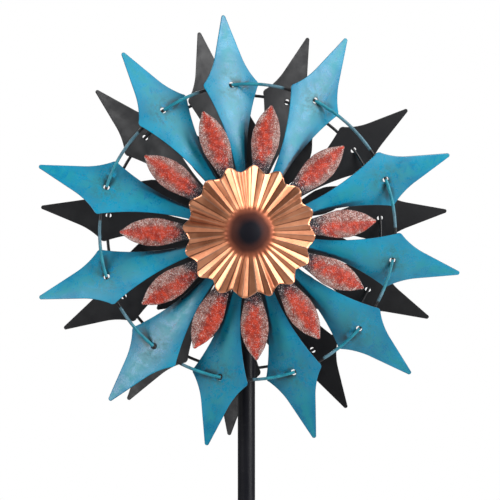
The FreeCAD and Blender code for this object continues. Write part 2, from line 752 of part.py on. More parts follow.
def joint_screws():
    """A pan-head screw through the front wall of each pole section into the tube inside it."""
    top, rounding = mm("screw_head_height"), mm("screw_head_round")
    made = []
    for index in range(len(SECTIONS)):
        head = add("Part::Cylinder", f"screw_{index}_head", Radius=of("screw_head"),
                   Height=of("screw_head_height"))
        rounded = trim_rims("Part::Fillet", f"screw_{index}_rounded", head, "screw_head", [top], rounding)
        shank = add("Part::Cylinder", f"screw_{index}_shank", Radius=of("screw_radius"),
                    Height=of("screw_reach"))
        place(shank, (0, 0, of("screw_reach") * -1))
        screw = combine("Part::MultiFuse", f"joint_screw_{index}", [rounded, shank])
        height = of("pole_start") + of("section_length") * index + screw_height()
        place(screw, (0, of("pole_radius") * -1, height), Rotation(Vector(1, 0, 0), 90))
        made.append(screw)
    return combine("Part::Compound", "joint_screws", made)


# --- foot --------------------------------------------------------------------------------------

def foot_socket():
    """A round plate with a tube that the pole's lower end slips over."""
    outside = of("pole_radius") - of("pole_wall") - of("spigot_gap")
    bore = outside - of("socket_wall")
    corners = [(bore, 0), (of("foot_radius"), 0), (of("foot_radius"), of("foot_metal")),
               (outside, of("foot_metal")), (outside, of("socket_length")), (bore, of("socket_length"))]
    socket = turned("ground_socket", corners)
    hole_height = of("foot_metal") + screw_height()
    drill = of("screw_radius") + of("screw_gap")
    cross_hole(socket, "socket_screw_hole", drill, hole_height, "front wall")
    return place(socket, (0, 0, of("pole_start") - of("foot_metal")))


def fork_rod(label, height):
    """A rod bent into a U with pointed ends: its middle lies level at the given height."""
    rod = of("fork_rod_radius")
    bend = of("fork_bend")
    flat = of("fork_half") - bend
    straight = height - bend + of("fork_depth") - of("fork_point")
    arm = add("Part::Cylinder", f"{label}_arm", Radius=rod, Height=flat * 2)
    place(arm, (flat * -1, 0, height), Rotation(Vector(0, 1, 0), 90))
    pieces = [arm]
    for hand, sign in (("left", -1), ("right", 1)):
        corner = add("Part::Torus", f"{label}_{hand}_bend", Radius1=bend, Radius2=rod, Angle3=90)
        upright = Rotation(Vector(1, 0, 0), 90)
        half_turn = Rotation(Vector(0, 0, 1), 0 if sign > 0 else 180)
        place(corner, (flat * sign, 0, height - bend), half_turn * upright)
        leg = add("Part::Cylinder", f"{label}_{hand}_leg", Radius=rod, Height=straight)
        place(leg, (of("fork_half") * sign, 0, of("fork_point") - of("fork_depth")))
        tip = add("Part::Cone", f"{label}_{hand}_tip", Radius1=of("fork_point_end"), Radius2=rod,
                  Height=of("fork_point"))
        place(tip, (of("fork_half") * sign, 0, of("fork_depth") * -1))
        pieces += [corner, leg, tip]
    return combine("Part::MultiFuse", label, pieces)


def ground_fork():
    """Two bent rods that cross under the foot plate, one over the other."""
    first = fork_rod("fork_rod_low", of("fork_rod_radius"))
    second = fork_rod("fork_rod_high", of("fork_rod_radius") * 3)
    second.Placement = Placement(Vector(), Rotation(Vector(0, 0, 1), 90))
    return combine("Part::Compound", "ground_fork", [first, second])


# --- build, check and write --------------------------------------------------------------------

def check(pieces):
    doc.recompute()
    for obj in doc.Objects:
        if {"Invalid", "Error"} & set(obj.State):
            raise ValueError(f"{obj.Label} is {obj.State}")
    for piece in pieces:
        if piece.Shape.isNull() or not piece.Shape.isValid() or not piece.Shape.Solids:
            raise ValueError(f"{piece.Label} has no valid solid")


def write(pieces):
    os.makedirs("parts", exist_ok=True)
    for piece in pieces:
        piece.Shape.exportStep(f"parts/{piece.Label}.step")
        print(f"{piece.Label}: {len(piece.Shape.Solids)} solid(s), {piece.Shape.Volume / 1000:.1f} cm3")


fill_sheet()
cap_pressing = pleated_collar().fuse(dome_skin()).removeSplitter()
all_pieces = rotor("front", cap_pressing) + rotor("rear", cap_pressing) + axle_pieces() + pole()
all_pieces += [pole_cap(), joint_screws(), foot_socket(), ground_fork()]
check(all_pieces)
write(all_pieces)
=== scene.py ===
"""Looks for the wind spinner: painted sheet metal, copper caps, rods, pole, lights and camera.

Metres, in the CAD frame: +Z up, the front rotor towards -Y. Rotor shapes are worked out in
millimetres in each blade's own axes: across (clockwise seen from the front), out (along the
axle, away from the pole) and radius (from the axle).
"""

import math
import random

import bmesh
import bpy
import numpy as np
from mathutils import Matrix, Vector, noise
from mathutils.geometry import delaunay_2d_cdt


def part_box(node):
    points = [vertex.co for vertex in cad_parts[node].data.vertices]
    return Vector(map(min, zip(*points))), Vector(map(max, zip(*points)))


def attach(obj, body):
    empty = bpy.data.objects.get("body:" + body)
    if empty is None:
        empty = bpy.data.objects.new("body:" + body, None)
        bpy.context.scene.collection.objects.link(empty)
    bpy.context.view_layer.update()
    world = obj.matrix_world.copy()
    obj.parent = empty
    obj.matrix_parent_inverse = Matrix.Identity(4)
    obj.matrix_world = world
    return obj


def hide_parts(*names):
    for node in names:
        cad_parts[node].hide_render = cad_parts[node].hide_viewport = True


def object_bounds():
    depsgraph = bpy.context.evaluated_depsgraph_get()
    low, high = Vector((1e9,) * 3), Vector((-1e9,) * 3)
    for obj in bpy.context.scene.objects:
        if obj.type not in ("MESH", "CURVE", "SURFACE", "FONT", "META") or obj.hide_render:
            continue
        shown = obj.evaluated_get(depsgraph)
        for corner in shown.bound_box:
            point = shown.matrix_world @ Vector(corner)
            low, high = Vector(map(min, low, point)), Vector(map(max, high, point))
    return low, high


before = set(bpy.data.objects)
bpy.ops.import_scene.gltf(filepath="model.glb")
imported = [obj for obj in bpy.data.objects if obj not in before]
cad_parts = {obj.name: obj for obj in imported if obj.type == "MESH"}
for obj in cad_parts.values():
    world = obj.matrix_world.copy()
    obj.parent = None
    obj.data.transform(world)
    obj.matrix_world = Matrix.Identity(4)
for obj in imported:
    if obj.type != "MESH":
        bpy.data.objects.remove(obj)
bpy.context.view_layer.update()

MM = 0.001
SIDES = {"front": -1, "rear": 1}
BLADES = 11
axle_low, axle_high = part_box("axle")
HUB = (axle_low + axle_high) / 2

# Driving sizes in millimetres, as in the CAD; only the rod's holes are narrower here.
RING_RADIUS, RING_OUT, ROD = 207.0, 67.0, 2.25
ROOT_OUT, TAB_END, TWIST_END = 86.5, 60.0, 150.0
PITCH = math.radians(28.0)
ROOT_BEND, WIDE_BEND = 50.0, 120.0
SHOULDER, HALF_WIDTH = 208.0, 39.0
BLADE_START, BLADE_TIP, BLADE_METAL = 40.0, 307.0, 1.2
HOLE_ACROSS, HOLE_RADIAL = 3.9, 4.4
PETAL_LIFT, PETAL_BEND, PETAL_METAL = 15.0, 55.0, 1.0
PETAL_START, PETAL_WIDEST, PETAL_HALF, PETAL_TIP = 42.0, 131.0, 19.2, 178.0
DOME_RADIUS, DOME_BASE, DOME_TOP = 30.0, 113.8, 130.0
CAP_RIM_OUT, CAP_RIM, CAP_LOBE, CAP_LOBES, CAP_METAL = 106.0, 87.7, 3.7, 16, 0.8
CAP_PLEATS, PLEAT_INNER, PLEAT_OUTER = 32, 0.8, 2.4
CAP_TURN = math.radians(4.3)
TAB_HALF, PETAL_TAB_HALF = 7.0, 6.0
FOOT_METAL, SOCKET_WALL = 3.0, 1.5

# What only the visual model has, in millimetres: unevenness of the metal, and welds.
BLADE_WAVES, PETAL_WAVES = 0.75, 0.5
ROD_WAVES, ROD_WAVES_OUT = 0.9, 0.8
TACK_BEFORE, TACK_OUT, TACK_RISE, TACK_SPREAD, TACK_THICK = 6.2, 1.2, 1.6, 0.8, 1.5
TACK_SWEEP = math.radians(1.1)
PLUG_WELD_PLACE, PLUG_WELD_SIZE, PLUG_WELD_HEIGHT = 51.0, 2.6, 0.6
SPOT_WELD_PLACES, SPOT_WELD_SIZE, SPOT_WELD_HEIGHT = (45.0, 53.0), 2.2, 0.35
WELD_SUNK = 0.25
ROD_SEAT = 0.0048  # metres from a fork rod's middle to the bead beside it


# --- shapes of the formed sheets ---

def ease(value, start, end):
    step = min(max((value - start) / (end - start), 0.0), 1.0)
    return step * step * (3.0 - 2.0 * step)


def lean_out(radius):
    lean = (ROOT_OUT - RING_OUT) / (RING_RADIUS - TAB_END)
    return ROOT_OUT - lean * max(radius - TAB_END, 0.0)


def blade_shape(across, radius, side):
    """Offset along Y of the middle of a blade's sheet."""
    widening = ease(radius, TWIST_END / 2, SHOULDER)
    bend = (1 - widening) / ROOT_BEND + widening / WIDE_BEND
    bend *= ease(radius, TAB_END, TWIST_END * 0.75)
    slope = math.tan(PITCH) * ease(radius, TAB_END, TWIST_END)
    return SIDES[side] * (lean_out(radius) - bend * across ** 2 / 2) + slope * across


def petal_shape(across, radius, side):
    """Offset along Y of the middle of a petal's sheet."""
    bend = ease(radius, TAB_END, PETAL_WIDEST) / PETAL_BEND
    return SIDES[side] * (lean_out(radius) + PETAL_LIFT - bend * across ** 2 / 2)


def to_world(across, along_y, radius, angle):
    """A point of a sheet that stands at an angle, in radians clockwise from the top."""
    x = across * math.cos(angle) + radius * math.sin(angle)
    z = radius * math.cos(angle) - across * math.sin(angle)
    return Vector((HUB.x + x * MM, HUB.y + along_y * MM, HUB.z + z * MM))


def arc_points(start, middle, end, steps):
    """Points along the circle through three points, without the last one."""
    (ax, ay), (bx, by), (cx, cy) = start, middle, end
    turn = 2 * (ax * (by - cy) + bx * (cy - ay) + cx * (ay - by))
    a, b, c = ax * ax + ay * ay, bx * bx + by * by, cx * cx + cy * cy
    ox = (a * (by - cy) + b * (cy - ay) + c * (ay - by)) / turn
    oy = (a * (cx - bx) + b * (ax - cx) + c * (bx - ax)) / turn
    first = math.atan2(ay - oy, ax - ox)
    sweep = (math.atan2(cy - oy, cx - ox) - first + math.pi) % (2 * math.pi) - math.pi
    radius = math.hypot(ax - ox, ay - oy)
    return [(ox + radius * math.cos(first + sweep * i / steps),
             oy + radius * math.sin(first + sweep * i / steps)) for i in range(steps)]


def line_points(start, end, steps):
    return [(start[0] + (end[0] - start[0]) * i / steps, start[1] + (end[1] - start[1]) * i / steps)
            for i in range(steps)]


def mirrored(right):
    """A closed outline from its right half, which runs from the root to the tip."""
    return right + [(-x, r) for x, r in reversed(right) if x > 1e-6]


def blade_outline():
    flare_start, below, above = (TAB_HALF, 70.0), (37.3, 203.0), (36.3, 213.0)
    neck, tip_start = (18.8, 248.0), (3.0, BLADE_TIP - 3)
    return mirrored(
        line_points((0.0, BLADE_START), (TAB_HALF, BLADE_START), 2)
        + line_points((TAB_HALF, BLADE_START), flare_start, 8)
        + arc_points(flare_start, (17.0, 144.0), below, 34)
        + arc_points(below, (HALF_WIDTH, SHOULDER), above, 8)
        + arc_points(above, (26.5, 228.5), neck, 12)
        + line_points(neck, tip_start, 14)
        + arc_points(tip_start, (2.1, BLADE_TIP - 0.9), (0.0, BLADE_TIP), 4)
        + [(0.0, BLADE_TIP)])


def petal_outline():
    """A tab that widens into a leaf: a smooth curve through listed points."""
    points = [(PETAL_TAB_HALF, TAB_END), (11.5, 90.0), (18.6, PETAL_WIDEST - 11),
              (PETAL_HALF, PETAL_WIDEST), (18.6, PETAL_WIDEST + 11), (12.9, 160.0),
              (3.0, PETAL_TIP - 2.5)]
    leaf = []
    for index in range(len(points) - 1):
        before, start = points[max(index - 1, 0)], points[index]
        end, after = points[index + 1], points[min(index + 2, len(points) - 1)]
        for step in range(9):
            t = step / 9
            leaf.append(tuple(
                0.5 * (2 * s + (e - b) * t + (2 * b - 5 * s + 4 * e - a) * t * t
                       + (3 * s - b - 3 * e + a) * t ** 3)
                for b, s, e, a in zip(before, start, end, after)))
    return mirrored(
        line_points((0.0, PETAL_START), (PETAL_TAB_HALF, PETAL_START), 2)
        + line_points((PETAL_TAB_HALF, PETAL_START), points[0], 5) + leaf
        + arc_points(points[-1], (1.95, PETAL_TIP - 0.7), (0.0, PETAL_TIP), 4)
        + [(0.0, PETAL_TIP)])


def inset(outline, amount):
    """The outline moved inwards along its own normals."""
    moved = []
    for index, (x, r) in enumerate(outline):
        (px, pr), (nx, nr) = outline[index - 1], outline[(index + 1) % len(outline)]
        length = math.hypot(nx - px, nr - pr) or 1.0
        moved.append((x - amount * (nr - pr) / length, r + amount * (nx - px) / length))
    return moved


def inside(point, outline):
    x, r = point
    hit = False
    for (ax, ar), (bx, br) in zip(outline, outline[1:] + outline[:1]):
        if (ar > r) != (br > r) and x < (bx - ax) * (r - ar) / (br - ar) + ax:
            hit = not hit
    return hit


def turns(count):
    """The angles of even steps round a full turn."""
    return [2 * math.pi * step / count for step in range(count)]


def bridge(first, second):
    """Quads between two closed rows of vertex numbers."""
    count = len(first)
    return [(first[i], second[i], second[(i + 1) % count], first[(i + 1) % count])
            for i in range(count)]


def fan(centre, row):
    """Triangles from a middle vertex to a closed row."""
    return [(centre, row[i], row[(i + 1) % len(row)]) for i in range(len(row))]


def tube_faces(rows, sides, closed=False):
    """Faces along rows of vertices, which close on themselves or end in a flat face."""
    numbered = [range(row * sides, (row + 1) * sides) for row in range(rows)]
    following = numbered[1:] + numbered[:1] if closed else numbered[1:]
    faces = [face for pair in zip(numbered, following) for face in bridge(*pair)]
    return faces if closed else faces + [tuple(numbered[0]), tuple(reversed(numbered[-1]))]


def new_object(name, points, faces):
    mesh = bpy.data.meshes.new(name)
    mesh.from_pydata([tuple(p) for p in points], [], faces)
    shaper = bmesh.new()
    shaper.from_mesh(mesh)
    bmesh.ops.recalc_face_normals(shaper, faces=shaper.faces)
    shaper.to_mesh(mesh)
    shaper.free()
    mesh.polygons.foreach_set("use_smooth", [True] * len(mesh.polygons))
    obj = bpy.data.objects.new(name, mesh)
    bpy.context.scene.collection.objects.link(obj)
    return obj


def put_attribute(obj, name, values):
    """A vector on each vertex, for the materials to read."""
    attribute = obj.data.attributes.new(name, "FLOAT_VECTOR", "POINT")
    attribute.data.foreach_set("vector", np.asarray(values, np.float32).ravel())


# --- blades and petals ---

def half_width(outline, radius):
    """Half the width of a symmetric outline at a radius."""
    crossings = [abs(ax + (bx - ax) * (radius - ar) / (br - ar))
                 for (ax, ar), (bx, br) in zip(outline, outline[1:] + outline[:1])
                 if (ar > radius) != (br > radius)]
    return max(crossings, default=0.5)


class Pattern:
    """A flat sheet of a given outline, meshed once and then formed for each blade or petal."""

    RIM_ROUND = 0.3

    def __init__(self, outline, spacing, hole=None):
        self.rims = [outline]
        skin_rims = [inset(outline, self.RIM_ROUND)]
        extra = inset(outline, self.RIM_ROUND * 4)
        if hole:
            self.rims.append(ellipse(hole, 0.0))
            skin_rims.append(ellipse(hole, self.RIM_ROUND))
            extra += ellipse(hole, self.RIM_ROUND * 4)
        room = inset(outline, spacing * 0.7)
        row_height = spacing * math.sqrt(3) / 2
        for row in range(int((BLADE_TIP - BLADE_START) / row_height)):
            radius = BLADE_START + row * row_height
            for column in range(-30, 31):
                point = ((column + 0.5 * (row % 2)) * spacing, radius)
                if inside(point, room) and clear_of(hole, point, spacing * 0.6):
                    extra.append(point)
        points, edges = [], []
        self.skin_loops = []
        for rim in skin_rims:
            loop = list(range(len(points), len(points) + len(rim)))
            points += rim
            edges += list(zip(loop, loop[1:] + loop[:1]))
            self.skin_loops.append(loop)
        flat = delaunay_2d_cdt([Vector(point) for point in points + extra], edges, [], 1, 1e-6)
        self.points = [(point.x, point.y) for point in flat[0]]
        self.faces = [face for face in flat[2] if clear_of(hole, self.centre(face), 0.0)]
        self.share = [across / half_width(outline, radius) for across, radius in self.points]
        self.edge = [min(math.dist(point, at) for at in outline) for point in self.points]

    def centre(self, face):
        return (sum(self.points[i][0] for i in face) / len(face),
                sum(self.points[i][1] for i in face) / len(face))


def ellipse(hole, margin):
    """A closed loop, clockwise, round a hole and a margin."""
    (x, r), across, along = hole
    return [(x + (across + margin) * math.cos(turn), r - (along + margin) * math.sin(turn))
            for turn in turns(40)]


def clear_of(hole, point, margin):
    if not hole:
        return True
    middle, across, along = hole
    return math.hypot((point[0] - middle[0]) / (across + margin),
                      (point[1] - middle[1]) / (along + margin)) > 0.97


def formed(name, side, angle, pattern, shape, metal, seed, unevenness):
    """A pattern bent to its shape, with a rounded rim, at its angle round the hub."""
    sway = Vector((seed * 7.3, seed * 3.1, seed * 11.7))

    def middle(across, radius):
        waves = noise.noise(Vector((across / 34, radius / 46, 0)) + sway)
        dents = noise.noise(Vector((across / 13, radius / 13, 5)) + sway) * 0.22
        uneven = unevenness * (waves + dents) * ease(radius, TAB_END, TWIST_END)
        return shape(across, radius, side) + uneven

    def lifted(across, radius, share):
        """A point at a share of half the metal's thickness towards the outward face."""
        along_y, step = middle(across, radius), 0.5
        dx = (middle(across + step, radius) - along_y) / step
        dr = (middle(across, radius + step) - along_y) / step
        normal = Vector((-dx, 1.0, -dr)).normalized()
        offset = normal * (SIDES[side] * share * metal / 2 * normal.y)
        return to_world(across + offset.x, along_y + offset.y, radius + offset.z, angle)

    vertices, place, sheet = [], [], []

    def put(across, radius, share, facing, width_share, edge):
        vertices.append(lifted(across, radius, share))
        place.append((across, radius, seed * 100.0))
        sheet.append((width_share, edge, facing))

    for facing in (1.0, -1.0):
        for index, (across, radius) in enumerate(pattern.points):
            put(across, radius, facing, facing, pattern.share[index], pattern.edge[index])
    skin = len(pattern.points)
    faces = [tuple(face) for face in pattern.faces]
    faces += [tuple(skin + i for i in reversed(face)) for face in pattern.faces]
    for rim, loop in zip(pattern.rims, pattern.skin_loops):
        start = len(vertices)
        wall = 1 - Pattern.RIM_ROUND / (metal / 2)
        for share in (wall, -wall):
            for across, radius in rim:
                put(across, radius, share, 0.0, math.copysign(1.0, across), 0.0)
        count = len(rim)
        rows = [loop, range(start, start + count), range(start + count, start + 2 * count),
                [skin + i for i in loop]]
        for upper, lower in zip(rows, rows[1:]):
            faces += bridge(upper, lower)
    made = new_object(name, vertices, faces)
    put_attribute(made, "place", place)
    put_attribute(made, "sheet", sheet)
    return made


# --- the pleated cap ---

def pleat_fold(angle, depths, sway):
    """-1 in a groove and +1 on a ridge, and the fold's depth; the spacing is a little uneven."""
    pleats = angle * CAP_PLEATS / (2 * math.pi)
    pleats += 0.13 * math.sin(5 * angle + sway) + 0.10 * math.sin(11 * angle + 2 * sway)
    index = math.floor(pleats)
    near, far = depths[index % CAP_PLEATS], depths[(index + 1) % CAP_PLEATS]
    wave = math.asin(0.993 * math.cos(2 * math.pi * pleats)) / math.asin(0.993)
    return wave, near + (far - near) * ease(pleats - index, 0.0, 1.0)


def soft_max(a, b, width):
    blend = max(width - abs(a - b), 0.0) / width
    return max(a, b) + blend * blend * width / 4


def make_cap(side, seed):
    """The pressed cap: a dome in a pleated collar with a scalloped rim."""
    rng = random.Random(seed)
    depths = [rng.uniform(0.72, 1.22) for _ in range(CAP_PLEATS)]
    lobe_shift = [rng.uniform(-0.35, 0.35) for _ in range(CAP_LOBES)]
    lobe_rise = [rng.uniform(0.95, 1.5) for _ in range(CAP_LOBES)]
    rise = DOME_TOP - DOME_BASE
    ball = (DOME_RADIUS ** 2 + rise ** 2) / (2 * rise)
    spokes = turns(CAP_PLEATS * 18)
    shares = [i / 9 * 0.28 for i in range(1, 10)] + [0.28 + 0.06 * i for i in range(1, 12)]
    shares.append(0.985)
    dome_radii = [DOME_RADIUS * (i / 14) for i in range(1, 15)]

    def outer_face(radius, rim_share, wave, depth):
        fold = wave * depth * ease(radius, 25.0, 37.0)
        inner = DOME_BASE + (1 + fold) * PLEAT_INNER
        collar = inner + ((CAP_RIM_OUT + fold * PLEAT_OUTER) - inner) * rim_share
        dome = DOME_TOP - ball + math.sqrt(max(ball ** 2 - radius ** 2, 0.0))
        return soft_max(collar, dome, 6.5)

    vertices, marks, faces = [], [], []

    def put(radius, angle, out, wave, facing):
        vertices.append(to_world(0, SIDES[side] * out, radius, angle + CAP_TURN))
        marks.append((radius, wave, facing))

    per_spoke = len(dome_radii) + len(shares)
    for facing in (1.0, 0.0):
        for angle in spokes:
            lobe = int(angle / (2 * math.pi) * CAP_LOBES + 0.5) % CAP_LOBES
            local = angle * CAP_LOBES
            local += lobe_shift[lobe] * math.sin(local + math.pi) * 0.6
            reach = CAP_RIM + CAP_LOBE * lobe_rise[lobe] * math.cos(local) - DOME_RADIUS
            wave, depth = pleat_fold(angle, depths, seed)
            radii = dome_radii + [DOME_RADIUS + share * reach for share in shares]
            for radius in radii:
                out = outer_face(radius, (radius - DOME_RADIUS) / reach, wave, depth)
                put(radius, angle, out - CAP_METAL * (1 - facing), wave, facing)
    skin = len(spokes) * per_spoke
    rims = []
    for base, facing in ((0, 1.0), (skin, 0.0)):
        rows = [range(base + ring, base + skin, per_spoke) for ring in range(per_spoke)]
        for inner, outer in zip(rows, rows[1:]):
            faces += bridge(inner, outer)
        faces += fan(len(vertices), rows[0])
        put(0.0, 0.0, DOME_TOP - CAP_METAL * (1 - facing), 0.0, facing)
        rims.append(rows[-1])
    # rim: one ring of points between the skins, a little further out
    first = len(vertices)
    for angle, top, low in zip(spokes, *rims):
        away = Vector((math.sin(angle + CAP_TURN), 0, math.cos(angle + CAP_TURN))) * (0.45 * MM)
        vertices.append((vertices[top] + vertices[low]) / 2 + away)
        marks.append((CAP_RIM, 1.0, 0.7))
    edge = range(first, first + len(spokes))
    faces += bridge(rims[0], edge) + bridge(edge, rims[1])
    made = new_object(f"{side}_cap_pressing", vertices, faces)
    put_attribute(made, "cap", marks)
    return made


# --- materials ---
#
# Colours are linear. Sheets and caps carry their own millimetres in attributes; the other
# materials measure in metres.

class Look:
    """A Principled material, with short calls that add nodes to it; it keeps its colour so far."""

    def __init__(self, name, **plain):
        self.material = bpy.data.materials.new(name)
        self.material.use_nodes = True
        self.tree = self.material.node_tree
        self.shader = self.tree.nodes["Principled BSDF"]
        self.colour = None
        for socket, value in plain.items():
            self.shader.inputs[socket.replace("_", " ")].default_value = value

    def node(self, kind, inputs=(), **settings):
        made = self.tree.nodes.new(kind)
        for key, value in settings.items():
            setattr(made, key, value)
        for key, value in dict(inputs).items():
            socket = made.inputs[key]
            if isinstance(value, bpy.types.NodeSocket):
                self.tree.links.new(value, socket)
            else:
                socket.default_value = (*value, 1.0) if socket.type == "RGBA" else value
        return made

    def parts(self, vector):
        return self.node("ShaderNodeSeparateXYZ", {"Vector": vector}).outputs

    def attribute(self, name):
        """The three parts of a vertex attribute, and the whole vector."""
        found = self.node("ShaderNodeAttribute", attribute_name=name).outputs["Vector"]
        return *self.parts(found), found

    def position(self):
        return self.node("ShaderNodeTexCoord").outputs["Object"]

    def stretched(self, vector, *scales):
        made = self.node("ShaderNodeVectorMath", {0: vector, 1: scales}, operation="MULTIPLY")
        return made.outputs[0]

    def noise(self, vector, scale, detail=3.0, rough=0.55, warp=0.0):
        return self.node("ShaderNodeTexNoise", {
            "Vector": vector, "Scale": scale, "Detail": detail, "Roughness": rough,
            "Distortion": warp,
        }).outputs["Fac"]

    def math(self, operation, a, b=0.0):
        return self.node("ShaderNodeMath", {0: a, 1: b}, operation=operation).outputs[0]

    def add(self, a, b):
        return self.math("ADD", a, b)

    def less(self, a, b):
        return self.math("SUBTRACT", a, b)

    def size(self, a):
        return self.math("ABSOLUTE", a)

    def distance(self, a, b):
        return self.math("SQRT", self.add(self.both(a, a), self.both(b, b)))

    def rise(self, value, low, high, start=0.0, end=1.0):
        """A smooth step from start to end as the value goes from low to high."""
        return self.node("ShaderNodeMapRange", {
            "Value": value, "From Min": low, "From Max": high, "To Min": start, "To Max": end,
        }, interpolation_type="SMOOTHSTEP").outputs[0]

    def both(self, *factors):
        made = factors[0]
        for factor in factors[1:]:
            made = self.math("MULTIPLY", made, factor)
        return made

    def either(self, *factors):
        made = factors[0]
        for factor in factors[1:]:
            made = self.math("MAXIMUM", made, factor)
        return made

    def mix(self, factor, a, b):
        return self.node("ShaderNodeMix", {0: factor, 6: a, 7: b}, data_type="RGBA").outputs[2]

    def ramp(self, value, low, high, a, b):
        """Colour a where the value is low, and b where it is high."""
        return self.mix(self.rise(value, low, high), a, b)

    def over(self, paint, *factors):
        """Lay a paint over the colour so far, as thick as the product of the factors."""
        self.colour = self.mix(self.both(*factors), self.colour, paint)

    def bump(self, height, distance, strength=1.0, under=None):
        inputs = {"Height": height, "Distance": distance, "Strength": strength}
        if under:
            inputs["Normal"] = under
        return self.node("ShaderNodeBump", inputs).outputs[0]

    def finish(self, roughness=None, normal=None, metallic=None):
        for socket, value in (("Base Color", self.colour), ("Roughness", roughness),
                              ("Normal", normal), ("Metallic", metallic)):
            if value is not None:
                self.tree.links.new(value, self.shader.inputs[socket])
        return self.material


def black_coat(look, vector, edge, facing, roughness):
    """Put black spray on backs and edges; the colour so far stays on the outward face."""
    face_colour = look.colour
    cloud = look.noise(vector, 0.03, 4.0, 0.6)
    dust = look.rise(look.noise(vector, 0.9, 2.0), 0.62, 0.75)
    look.colour = look.mix(cloud, (0.0030, 0.0031, 0.0048), (0.0080, 0.0083, 0.0112))
    look.over((0.030, 0.031, 0.035), dust, look.rise(cloud, 0.4, 0.7, 0.0, 0.5))
    rubbed = look.rise(look.noise(vector, 0.25, 3.0), 0.56, 0.68)
    look.over((0.16, 0.15, 0.15), look.rise(edge, 1.4, 0.3), rubbed, 0.5)
    outward = look.rise(facing, 0.25, 0.75)
    look.over(face_colour, outward)
    black_rough = look.rise(look.noise(vector, 0.05, 4.0), 0.3, 0.75, 0.40, 0.60)
    return look.mix(outward, black_rough, roughness)


def blade_paint():
    """Blue brushed over black on the outward face; black behind and on the edges."""
    look = Look("Blue over black")
    across, radius, _, vector = look.attribute("place")
    share, edge, facing, _ = look.attribute("sheet")
    streaks = look.noise(look.stretched(vector, 1.0, 0.09, 1.0), 0.42, 4.0, 0.6)
    cloud = look.noise(vector, 0.022, 3.0, 0.5)
    blotch = look.noise(vector, 0.075, 5.0, 0.62, 0.6)
    mottle = look.noise(vector, 0.42, 3.0, 0.65)
    from_ring = look.less(look.distance(across, radius), RING_RADIUS)
    from_hole = look.distance(across, from_ring)
    look.colour = look.ramp(cloud, 0.33, 0.67, (0.001, 0.225, 0.410), (0.003, 0.320, 0.520))
    middle = look.both(look.rise(look.size(share), 0.90, 0.10),
                       look.rise(radius, 75.0, 150.0), look.rise(blotch, 0.34, 0.58))
    look.over((0.010, 0.320, 0.385), middle, 0.75)
    # grey and faintly violet where the paint was wiped thin, mostly round the rod's hole
    near = look.rise(look.add(from_hole, look.both(blotch, 40.0)), 84.0, 34.0)
    wiped = look.both(look.either(near, look.rise(streaks, 0.60, 0.76, 0.0, 0.7)),
                      look.rise(blotch, 0.40, 0.60))
    look.over((0.075, 0.270, 0.350), wiped, 0.34)
    violet = look.both(near, look.rise(mottle, 0.44, 0.66), look.rise(blotch, 0.60, 0.46))
    look.over((0.170, 0.240, 0.320), violet, 0.24)
    brushed = look.rise(streaks, 0.52, 0.70)
    look.over((0.016, 0.350, 0.500), brushed, 0.32)
    scuffs = look.both(look.rise(streaks, 0.44, 0.34), look.rise(mottle, 0.46, 0.58),
                       look.rise(blotch, 0.62, 0.40))
    look.over((0.012, 0.080, 0.125), scuffs, 0.50)
    # black shows through: specks, beside the ring rod, along one side of the root, edges and tip;
    # beside the rod, round its hole and along that side of the root the dark is also painted shade,
    # for the shadows of the rod and the petals
    specks = look.rise(look.noise(vector, 0.70, 2.0, 0.7), 0.66, 0.72)
    specks = look.both(specks, look.rise(look.noise(vector, 0.06, 2.0), 0.42, 0.62))
    # painted shadow of the rod on the blade, with black left bare where the rod kept the spray off
    rod_shadow_and_bare = look.both(look.rise(look.size(from_ring), 12.0, 2.5), look.rise(across, -8.0, 2.0),
                           look.rise(across, 38.0, 20.0), look.rise(blotch, 0.36, 0.54))
    # painted shade round the rod's hole, with black left bare there
    hole_shadow_and_bare = look.both(look.rise(from_hole, 30.0, 8.0), look.rise(blotch, 0.42, 0.60),
                       look.rise(mottle, 0.36, 0.62))
    # painted shade on the side of the root that lies behind a petal, with black left bare where the
    # spray didn't reach
    root_side_shade_and_bare = look.both(look.rise(look.add(share, look.both(blotch, 0.30)), 0.66, 0.92),
                           look.rise(radius, 186.0, 128.0))
    root = look.rise(look.add(radius, look.both(blotch, 24.0)), 92.0, 72.0)
    rim = look.rise(look.add(edge, look.both(mottle, 1.3)), 1.8, 0.8)
    # the black that shows through, together with painted shade beside the rod, round its hole and
    # along one side of the root
    gives_way = look.either(look.both(specks, 0.6), look.both(rod_shadow_and_bare, 0.80), look.both(hole_shadow_and_bare, 0.45),
                       look.both(root_side_shade_and_bare, 0.95), look.both(root, 0.6), look.both(rim, 0.15))
    look.over((0.009, 0.013, 0.020), gives_way)
    satin = look.rise(look.add(blotch, look.both(mottle, 0.5)), 0.55, 0.95, 0.25, 0.44)
    roughness = black_coat(look, vector, edge, facing, satin)
    grain = look.noise(vector, 1.6, 2.0)
    height = look.add(look.both(streaks, 0.6), look.both(grain, 0.4))
    return look.finish(roughness, look.bump(height, 0.00018, 0.55))


